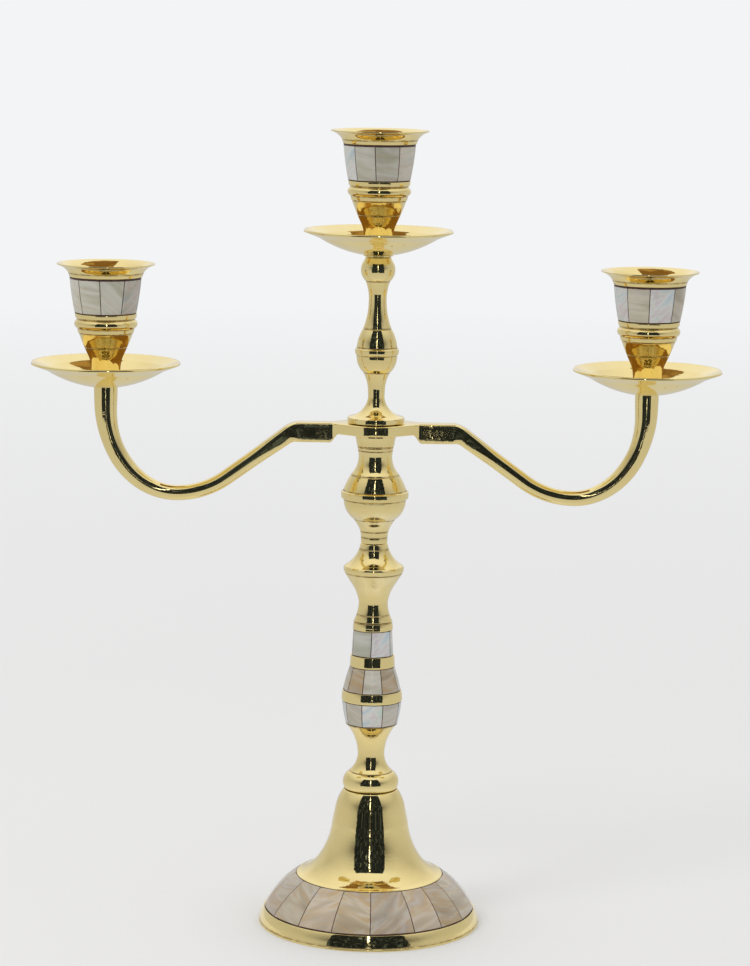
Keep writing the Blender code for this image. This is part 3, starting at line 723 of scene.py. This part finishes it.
# ---- middle stem, vase and collar
SPOOL_SIDE = [
    (0.0121, 0.0094, -0.23), (0.0126, 0.0008, 0.1), (0.0122, 0.0018, 0.1), (0.0119, 0.0002),
    (0.0120, 0.0003), (0.0086, 0.0054), (0.00605, 0.0070, -0.11), (0.0080, 0.0078, -0.11),
]
SPOOL_CUTS = [(0.0304, 0.0004, 0.00010), (0.0028, 0.0004, 0.00012)]
VASE_SIDE = [
    (0.0073, 0.0018), (0.0096, 0.0096, -0.25), (0.0131, 0.0071, 0.06), (0.0139, 0.0005),
    (0.0139, 0.0026, 0.08), (0.0129, 0.0006), (0.0088, 0.0083, 0.25), (0.0085, 0.0004),
    (0.0078, 0.0011), (0.0056, 0.0055, -0.15), (0.0055, 0.0030),
]
VASE_CUTS = [(0.0402, 0.0005, 0.00018), (0.0388, 0.0005, 0.00018), (0.0284, 0.0004, 0.00015),
             (0.0049, 0.0004, 0.00014), (0.0024, 0.0005, 0.00016)]
COLLAR_SIDE = [(0.0085, 0.0009), (0.0078, 0.0038, -0.06)]
SECTIONS = {     # piece: node, top radius, side, scored lines
    "spool": ("middle_stem", 0.0056, SPOOL_SIDE, SPOOL_CUTS),
    "vase": ("vase_stem", 0.0076, VASE_SIDE, VASE_CUTS),
    "collar": ("arm_collar", 0.0085, COLLAR_SIDE, []),
}


def add_stem_sections():
    for name, (node, radius, stretches, cuts) in SECTIONS.items():
        side = scored(side_points((radius, height_of(stretches)), stretches), cuts)
        piece = turned(name, bored(side), seat_of(node), "column", [BRASS],
                       brushed=name != "collar")
        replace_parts(piece, node)


# ---- upper stem
UPPER_SIDE = [
    (0.0062, 0.0005), (0.0051, 0.0004), (0.0060, 0.0018), (0.0062, 0.0003),
    (0.0054, 0.0076, 0.33), (0.0051, 0.0002), (0.0037, 0.0088, -0.11), (0.0059, 0.0109, -0.09),
    (0.0084, 0.0077, 0.11), (0.0090, 0.0007), (0.0089, 0.0020, 0.1), (0.0084, 0.0004),
    (0.0060, 0.0069, 0.20), (0.0056, 0.0003), (0.0035, 0.0081, -0.13), (0.0034, 0.0022),
    (0.0116, 0.0082, -0.35), (0.0118, 0.0004), (0.0118, 0.0018),
]
STUD_HOLE = 0.0073
ROD_HOLE = 0.0070
UPPER_CUTS = [(0.0387, 0.0004, 0.00016)]


def add_upper_stem():
    head = [(STUD_BORE, 0.0), (STUD_BORE, -STUD_HOLE), (0.0062, 0.0)]
    tail = [(ROD_BORE, 0.0), (ROD_BORE, -ROD_HOLE), (0.0, 0.0)]
    start = side_points((0.0, height_of(UPPER_SIDE) - STUD_HOLE), head)
    side = scored(side_points(start[-1], UPPER_SIDE), UPPER_CUTS)
    points = start + side[1:] + side_points(side[-1], tail)[1:]
    piece = turned("upper_baluster", points, seat_of("upper_stem"), "column", [BRASS])
    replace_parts(piece, "upper_stem")


# ---- drip pans and candle cups
PAN_THICKNESS = 0.0010
PAN_UNDERSIDE = [(0.0245, 0.0024), (0.0086, 0.0065, 0.09), (STUD_BORE, 0.0)]
CUP_BAND = (0.0150, 0.0128, 0.0151, 0.03, 9)
CUP_HEIGHT = 0.0491
CANDLE_DEPTH = 0.0190
CUP_STUD_HOLE = 0.0068
CUP_INSIDE = [
    (0.0100, 0.0), (0.0114, -0.0130), (0.0197, -0.0060, 0.20), (0.0201, 0.0), (0.0201, 0.0005),
    (0.0155, 0.0034, -0.20), (0.0150, 0.0016),
]
CUP_FOOT = [
    (0.0125, 0.0018), (0.0119, 0.0002), (0.0119, 0.0003), (0.0123, 0.0005), (0.0121, 0.0031, 0.5),
    (0.0118, 0.0001), (0.0115, 0.0018), (0.0111, 0.0002), (0.0111, 0.0002),
    (0.0076, 0.0085, 0.03), (0.0060, 0.0065, -0.12), (0.0063, 0.0054, -0.05),
]
CUP_CUTS = [(0.0147, 0.0004, 0.00014)]
CUP_LOOKS = {"left": (-4.0, 41), "centre": (-5.0, 4773), "right": (-3.0, 67)}


def add_drip_pan(side):
    under = side_points((0.0307, 0.0089), PAN_UNDERSIDE)
    dish = inset(under, PAN_THICKNESS)
    pan = turned(f"pan_{side}", under + dish[::-1], seat_of(f"drip_pan_{side}"),
                 POST_BODY[side], [BRASS])
    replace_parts(pan, f"drip_pan_{side}")


def add_candle_cup(side):
    seat = seat_of(f"candle_cup_{side}")
    inside = side_points((0.0, CUP_HEIGHT - CANDLE_DEPTH), CUP_INSIDE)
    band_top = inside[-1].y
    body = inside + recess(CUP_BAND, band_top)[1:]
    foot = scored(side_points(body[-1], CUP_FOOT), CUP_CUTS)
    tail = side_points(foot[-1], [(STUD_BORE, 0.0), (STUD_BORE, -CUP_STUD_HOLE), (0.0, 0.0)])
    cup = turned(f"cup_{side}_brass", body + foot[1:] + tail[1:], seat, f"cup_{side}", [BRASS])
    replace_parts(cup, f"candle_cup_{side}")
    front, seed = CUP_LOOKS[side]
    band = Band(*CUP_BAND, band_top, front, (0.00085, 0.00045), (0.05, seed), (0.1, 0.35))
    add_band(f"cup_{side}", f"cup_inlay_{side}", band, seat, f"cup_{side}")


# ---- cross arm
EYE_RADIUS = 0.0140
STRIP_THICKNESS = 0.0043
PADDLE_INNER = 0.0190        # where the paddle has its full height
EYE_TANGENT = 0.0085         # where the round eye runs on straight towards the paddle
EYE_BLEND = 1500.0           # how sharply that line meets the paddle
PADDLE_DEPTH = 0.0040
PADDLE_HEIGHT = 0.0081
KNEE_REACH = 0.0345
ARM_REACH = 0.1115
ARM_SLOPE = radians(36.0)
DIP_RADIUS = 0.035
BEND_REACH = 0.0293
BEND_RISE = 0.0360
POST_LENGTH = 0.0081
KNEE_SOFTNESS = 0.0030
CORNER_POINTS = 7
FLAT_POINTS = 4


def smooth(value, low, high):
    """0 below low, 1 above high and a smooth step between them."""
    share = min(max((value - low) / (high - low), 0.0), 1.0)
    return share * share * (3 - 2 * share)


def blended(value, stops):
    """The sizes at that value, eased between (value, sizes) stops."""
    for (low, first), (high, second) in zip(stops, stops[1:]):
        if value <= high:
            share = smooth(value, low, high)
            return [a + (b - a) * share for a, b in zip(first, second)]
    return stops[-1][1]


def arm_centreline():
    """Stations along the right arm beyond the paddle: (x, z under the eye's top, direction)."""
    paddle = -PADDLE_HEIGHT / 2
    dip_start = ARM_REACH - BEND_REACH - DIP_RADIUS * sin(ARM_SLOPE)
    dip_bottom = (paddle - (dip_start - KNEE_REACH) * tan(ARM_SLOPE)
                  - DIP_RADIUS * (1 - cos(ARM_SLOPE)))
    middle = ARM_REACH - BEND_REACH
    stations = []
    for i in range(9):
        share = i / 8
        turn = ARM_SLOPE * share
        corner = Vector((KNEE_REACH, paddle))
        before = corner - Vector((KNEE_SOFTNESS, 0)) * (1 - share)
        after = corner + Vector((cos(ARM_SLOPE), -sin(ARM_SLOPE))) * KNEE_SOFTNESS * share
        spot = before.lerp(after, share)
        stations.append((spot.x, spot.y, -turn))
    slope_start = stations[-1][0]
    for i in range(1, 20):
        x = slope_start + (dip_start - slope_start) * i / 20
        stations.append((x, paddle - (x - KNEE_REACH) * tan(ARM_SLOPE), -ARM_SLOPE))
    for i in range(16):
        angle = ARM_SLOPE * (1 - i / 16)
        stations.append((middle - DIP_RADIUS * sin(angle),
                         dip_bottom + DIP_RADIUS * (1 - cos(angle)), -angle))
    for i in range(41):
        angle = pi / 2 * i / 40
        stations.append((middle + BEND_REACH * sin(angle),
                         dip_bottom + BEND_RISE * (1 - cos(angle)),
                         atan2(BEND_RISE * sin(angle), BEND_REACH * cos(angle))))
    top = dip_bottom + BEND_RISE + POST_LENGTH
    for i in range(1, 9):
        stations.append((ARM_REACH, top - POST_LENGTH * (1 - i / 8), pi / 2))
    return stations


def eye_half_depth(x):
    """Half depth of the flat eye in plan: round, then along a tangent to the paddle."""
    if x < EYE_TANGENT:
        return sqrt(EYE_RADIUS ** 2 - x * x)
    depth = sqrt(EYE_RADIUS ** 2 - EYE_TANGENT ** 2)
    line = depth - (x - EYE_TANGENT) * EYE_TANGENT / depth
    proud = log(1 + exp((line - PADDLE_DEPTH) * EYE_BLEND)) / EYE_BLEND
    return PADDLE_DEPTH + proud * (1 - smooth(x, 0.0160, PADDLE_INNER))


def arm_sections():
    """Sections of the right half: (x, z, direction, half height, half depth, corner radius)."""
    sections = []
    for i in range(48):
        x = PADDLE_INNER * i / 48
        grown = smooth(x, 0.0152, PADDLE_INNER)
        half = (STRIP_THICKNESS + (PADDLE_HEIGHT - STRIP_THICKNESS) * grown) / 2
        sections.append((x, -half, 0.0, half, eye_half_depth(x), 0.0006 + 0.0003 * grown))
    for i in range(14):
        x = PADDLE_INNER + (KNEE_REACH - KNEE_SOFTNESS - PADDLE_INNER) * i / 14
        sections.append((x, -PADDLE_HEIGHT / 2, 0.0, PADDLE_HEIGHT / 2, PADDLE_DEPTH, 0.0009))
    line = arm_centreline()
    lengths = [0.0]
    for a, b in zip(line, line[1:]):
        lengths.append(lengths[-1] + hypot(b[0] - a[0], b[1] - a[1]))
    total = lengths[-1]
    stops = [
        (0.0, (PADDLE_HEIGHT / 2, PADDLE_DEPTH, 0.25)),
        (0.007, (0.0034, 0.0037, 0.50)),
        (0.024, (0.0032, 0.0035, 0.86)),
        (0.058, (0.0031, 0.0034, 0.96)),
        (0.090, (0.0039, 0.0040, 0.96)),
        (total, (0.0049, 0.0049, 1.0)),
    ]
    for (x, z, direction), length in zip(line, lengths):
        half, depth, roundness = blended(length, stops)
        sections.append((x, z, direction, half, depth, min(half, depth) * roundness))
    return sections


def rounded_section(section, eye_top):
    """The rim of one section as points, square to the arm's centreline."""
    x, z, direction, half, depth, corner = section
    across = Vector((-sin(direction), 0.0, cos(direction)))
    middle = Vector((x, 0.0, eye_top + z))
    outline = []
    for side in range(4):
        start = pi / 2 * side
        signs = (copysign(1, cos(start + pi / 4)),
                 copysign(1, sin(start + pi / 4)))
        for i in range(CORNER_POINTS):
            angle = start + pi / 2 * i / (CORNER_POINTS - 1)
            outline.append((signs[0] * (half - corner) + corner * cos(angle),
                            signs[1] * (depth - corner) + corner * sin(angle)))
    points = []
    for k, ((up_a, out_a), (up_b, out_b)) in enumerate(zip(outline, outline[1:] + outline[:1])):
        pieces = 1 if (k + 1) % CORNER_POINTS else FLAT_POINTS
        for i in range(pieces):
            up = up_a + (up_b - up_a) * i / pieces
            out = out_a + (out_b - out_a) * i / pieces
            points.append(middle + across * up - Vector((0.0, out, 0.0)))
    return points


def add_cross_arm():
    """The one-piece arm, lofted from post to post, bored for the tie rod and the studs."""
    eye_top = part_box("upper_stem")[0].z - SEAT_GAP
    right = [rounded_section(section, eye_top) for section in arm_sections()]
    flip = Matrix.Scale(-1, 3, (1, 0, 0))
    left = [[flip @ point for point in ring] for ring in reversed(right[1:])]
    verts = [point for ring in left + right for point in ring]
    rings = numbered(verts, len(right[0]))
    faces = ring_faces(rings, outward=False) + [rings[0][::-1], rings[-1]]
    plain = [0.0] * len(verts)
    mesh = new_mesh("arm_casting", verts, faces, crevice=plain, satin=plain)
    arm = finish_piece("arm_casting", mesh, (0, 0, 0), "arms", [BRASS])
    post_top = eye_top + arm_centreline()[-1][1]
    cutters = [bore_cutter("eye_bore", (0, 0, eye_top - STRIP_THICKNESS / 2), ROD_BORE, 0.012)]
    for side, sign in (("left", -1), ("right", 1)):
        cutters.append(bore_cutter(f"post_bore_{side}", (sign * ARM_REACH, 0, post_top),
                                   STUD_BORE, 0.0146))
    for cutter in cutters:
        modifier = arm.modifiers.new(cutter.name, "BOOLEAN")
        modifier.object = cutter
    bpy.context.view_layer.update()
    settled = bpy.data.meshes.new_from_object(
        arm.evaluated_get(bpy.context.evaluated_depsgraph_get()))
    arm.modifiers.clear()
    arm.data = settled
    settled.set_sharp_from_angle(angle=radians(40))
    for cutter in cutters:
        bpy.data.objects.remove(cutter, do_unlink=True)
    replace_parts(arm, "cross_arm")


def bore_cutter(name, middle, radius, length):
    bpy.ops.mesh.primitive_cylinder_add(vertices=48, radius=radius, depth=length, location=middle)
    cutter = bpy.context.object
    cutter.name = name
    return cutter


# ---- fasteners
ROD_THREAD = (0.0010, 0.00045)       # pitch and depth
STUD_THREAD = (0.0007, 0.00034)
ROD_THREAD_LENGTH = 0.0125
ROD_CHAMFER = 0.0004
WASHER_RADIUS = 0.0080
NUT_CORNER = 0.0058
NUT_CHAMFER = 0.0009
NUT_SLOPE = 1.2
NUT_BEVEL = 0.0003


def threaded(name, node, radius, thread, thread_to, body):
    """A rod with a helical thread from its foot up to a height, and chamfered ends."""
    (pitch, depth), (low, high) = thread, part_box(node)
    length, steps, per_pitch = high.z - low.z, 40, 8
    levels = [0.0]
    while levels[-1] < length - 1e-6:
        fine = levels[-1] < thread_to + pitch
        levels.append(min(levels[-1] + (pitch / per_pitch if fine else 0.002), length))
    verts = [(0, 0, 0)]
    for level in levels:
        ends = min(level, length - level)
        for k in range(steps):
            turn = k / steps
            share = (level / pitch - turn) % 1.0
            cut = depth * min(1.0, 2.2 * abs(share - 0.5))
            inside = smooth(level, 0.0, pitch) * (1 - smooth(level, thread_to - pitch, thread_to))
            out = radius - cut * inside - max(0.0, ROD_CHAMFER - ends)
            verts.append(on_round(out, 2 * pi * turn, level))
    rings = [[0] * steps, *numbered(verts, steps, 1), [len(verts)] * steps]
    verts.append((0, 0, length))
    mesh = new_mesh(name, verts, ring_faces(rings, outward=False))
    place = Vector(((low.x + high.x) / 2, 0, low.z))
    piece = finish_piece(name, mesh, place, body, [STEEL])
    mesh.set_sharp_from_angle(angle=radians(40))
    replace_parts(piece, node)


def add_fasteners():
    threaded("threaded_tie_rod", "tie_rod", ROD_RADIUS, ROD_THREAD, ROD_THREAD_LENGTH, "column")
    for side in SIDES:
        low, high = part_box(f"cup_stud_{side}")
        threaded(f"threaded_stud_{side}", f"cup_stud_{side}", STUD_RADIUS, STUD_THREAD,
                 high.z - low.z, POST_BODY[side])
    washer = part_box("base_washer")
    thickness = washer[1].z - washer[0].z
    side = side_points((WASHER_RADIUS, thickness), [(WASHER_RADIUS, thickness)])
    piece = turned("foot_washer", bored(side), seat_of("base_washer"), "column",
                   [STEEL], steps=64, wave=0.0)
    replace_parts(piece, "base_washer")
    add_nut()


def add_nut():
    """A hexagon nut: a prism whose corners are cut back by a cone at each end."""
    low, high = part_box("base_nut")
    height = high.z - low.z
    flat = NUT_CORNER * cos(pi / 6)
    rows = [(None, level) for level in (
        0.0, NUT_CHAMFER * 0.4, NUT_CHAMFER, height / 2, height - NUT_CHAMFER,
        height - NUT_CHAMFER * 0.4, height)]
    rows += [(ROD_BORE + NUT_BEVEL, height), (ROD_BORE, height - NUT_BEVEL),
             (ROD_BORE, NUT_BEVEL), (ROD_BORE + NUT_BEVEL, 0.0)]
    verts, steps = [], 96
    for bore, level in rows:
        cone = flat - 0.0002 + min(level, height - level) * NUT_SLOPE
        for k in range(steps):
            angle = 2 * pi * k / steps
            nearest = round(angle / (pi / 3) - 0.5) + 0.5
            radius = bore or min(flat / cos(angle - nearest * pi / 3), cone)
            verts.append((radius * sin(angle), radius * cos(angle), level))
    mesh = new_mesh("foot_nut", verts, ring_faces(numbered(verts, steps), closed=True))
    nut = finish_piece("foot_nut", mesh, (0, 0, low.z), "column", [STEEL])
    mesh.set_sharp_from_angle(angle=radians(25))
    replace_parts(nut, "base_nut")


# ---- studio
def add_floor():
    bpy.ops.mesh.primitive_circle_add(vertices=96, radius=30, fill_type="NGON")
    floor = bpy.context.object
    floor.name = "floor"
    floor.data.materials.append(paper_material())


def add_world():
    """The even white light that falls on the floor and on the tiles."""
    world = bpy.data.worlds.new("studio")
    bpy.context.scene.world = world
    world.use_nodes = True
    back = world.node_tree.nodes["Background"]
    back.inputs["Color"].default_value = (*STUDIO_WHITE, 1.0)
    back.inputs["Strength"].default_value = 1.0


def seen_in_reflections(name, mesh, material):
    """A staged surface that shows only in reflections."""
    mesh.materials.append(material)
    shown = new_object(name, mesh)
    for ray in ("camera", "diffuse", "shadow", "transmission"):
        setattr(shown, f"visible_{ray}", False)


DOME_RADIUS = 3.2
WALL_GLOW = [        # cosine of the angle from the front, brightness of the studio's wall there
    (-1.0, 0.95), (-0.81, 0.66), (-0.5, 0.55), (0.0, 0.53), (0.26, 0.50), (0.5, 0.40),
    (0.64, 0.28), (0.76, 0.16), (1.0, 0.14),
]
CEILING_GLOW = [(-1.0, 0.95), (0.0, 0.86), (0.7, 0.90), (1.0, 0.92)]


def add_dome():
    """The studio's walls and ceiling, dimmer at the sides and darkest in front."""
    n = Nodes("studio_wall")
    spot = n.add("ShaderNodeTexCoord").outputs["Object"]
    flat = n.add("ShaderNodeVectorMath", {0: spot, 1: (1, 1, 0)}, operation="MULTIPLY").outputs[0]
    away = n.add("ShaderNodeVectorMath", {0: flat}, operation="NORMALIZE").outputs[0]
    parts = n.add("ShaderNodeSeparateXYZ", {0: away})
    front = n.span(parts.outputs[1], -1, 1, 1, 0)
    height = n.add("ShaderNodeSeparateXYZ", {0: spot}).outputs[2]
    walls, ceiling = (n.ramp(front, [
        ((cosine + 1) / 2, (glow, glow * 0.995, glow * 0.98)) for cosine, glow in table
    ]) for table in (WALL_GLOW, CEILING_GLOW))
    rise = n.math("DIVIDE", height, DOME_RADIUS)
    colour = n.mix(n.span(rise, 0.40, 0.88), walls, ceiling)
    colour = n.mix(n.span(rise, 0.0, 0.34, 1, 0), colour, (0.60, 0.597, 0.588))
    n.surface(n.glow(colour))
    bpy.ops.mesh.primitive_uv_sphere_add(segments=96, ring_count=48, radius=DOME_RADIUS)
    ball = bpy.context.object
    mesh = ball.data.copy()
    bpy.data.objects.remove(ball, do_unlink=True)
    mesh.shade_smooth()
    seen_in_reflections("studio_dome", mesh, n.material)


def card_material(name, dark, light, threshold, scale):
    """A glowing card, patchy as a room or a window is."""
    n = Nodes(name)
    patches = n.noise(n.place(scale), 1.0, 3.0, 0.6)
    colour = n.mix(n.span(patches, threshold, threshold + 0.12, 0, 1), dark, light)
    n.surface(n.glow(colour))
    return n.material


CARDS = {            # distance, azimuths, heights, dark, light, threshold, grain
    "room": (0.85, (-42, 42), (0.0, 1.45),
             (0.012, 0.015, 0.020), (0.075, 0.098, 0.120), 0.54, (24, 24, 12)),
    "window_left": (0.80, (-24, -4), (0.25, 1.05),
                    (0.016, 0.020, 0.026), (0.34, 0.40, 0.44), 0.57, (20, 20, 7)),
    "window_right": (0.79, (-0.8, 1.4), (0.05, 1.2),
                     (0.10, 0.10, 0.09), (5.5, 5.5, 5.3), 0.45, (16, 16, 9)),
}


def add_card(name, distance, azimuths, heights, material):
    """A curved card round the front of the studio, from one azimuth to another."""
    steps = 24
    verts, faces = [], []
    for i in range(steps + 1):
        azimuth = radians(azimuths[0] + (azimuths[1] - azimuths[0]) * i / steps)
        x, y = distance * sin(azimuth), -distance * cos(azimuth)
        verts += [(x, y, heights[0]), (x, y, heights[1])]
    for i in range(steps):
        faces.append((2 * i, 2 * i + 1, 2 * i + 3, 2 * i + 2))
    seen_in_reflections(name, new_mesh(name, verts, faces), material)


def add_floor_sheen():
    """How the floor further out looks in the brass: dimmer than it does to the eye."""
    steps, rings = 96, ((0.075, 0.74), (0.16, 0.66), (0.5, 0.60), (3.3, 0.60))
    verts = [on_round(radius, 2 * pi * k / steps, 0.0003)
             for radius, _ in rings for k in range(steps)]
    tones = [glow for _, glow in rings for _ in range(steps)]
    mesh = new_mesh("floor_sheen", verts, ring_faces(numbered(verts, steps)), tone=tones)
    n = Nodes("floor_sheen")
    n.surface(n.glow(n.attribute("tone").outputs["Color"]))
    seen_in_reflections("floor_sheen", mesh, n.material)


def add_beams():
    """The brown ceiling over the studio, which shows as amber in the dishes and cups."""
    (low_x, low_y), (high_x, high_y), height = (-0.40, -0.08), (0.40, 1.2), 1.6
    corners = [(low_x, low_y), (high_x, low_y), (high_x, high_y), (low_x, high_y)]
    mesh = new_mesh("beams", [(x, y, height) for x, y in corners], [(0, 1, 2, 3)])
    seen_in_reflections("beams", mesh, card_material(
        "beams", (0.22, 0.12, 0.035), (0.42, 0.26, 0.09), 0.50, (2.5, 1.2, 1.0)))


def add_lights():
    light = bpy.data.lights.new("key", "AREA")
    light.shape = "DISK"
    light.size = 0.7
    light.energy = 6.0
    lamp = new_object("key", light)
    lamp.location = (-1.1, -0.9, 1.5)
    lamp.rotation_euler = (Vector((0, 0, 0.15)) - lamp.location).to_track_quat("-Z", "Y").to_euler()
    lamp.visible_glossy = False


CAMERA_PLACE = (0.0, -1.302, 0.390)
CAMERA_PITCH = radians(8.87)
CAMERA_ROLL = radians(0.85)


def add_camera():
    data = bpy.data.cameras.new("camera")
    data.lens = 118.65
    data.sensor_width = 36.0
    data.clip_start = 0.05
    camera = new_object("camera", data)
    turn = (Matrix.Rotation(pi / 2 - CAMERA_PITCH, 4, "X")
            @ Matrix.Rotation(CAMERA_ROLL, 4, "Z"))
    camera.matrix_world = Matrix.Translation(CAMERA_PLACE) @ turn
    bpy.context.scene.camera = camera


# ---- assembly
add_foot()
add_lower_stem()
add_stem_sections()
add_upper_stem()
add_cross_arm()
for side in SIDES:
    add_drip_pan(side)
    add_candle_cup(side)
add_fasteners()
add_floor()
add_world()
add_lights()
add_dome()
for name, (distance, azimuths, heights, *look) in CARDS.items():
    add_card(name, distance, azimuths, heights, card_material(name, *look))
add_floor_sheen()
add_beams()
add_camera()
bpy.context.scene.view_settings.view_transform = "Standard"
bpy.context.view_layer.update()
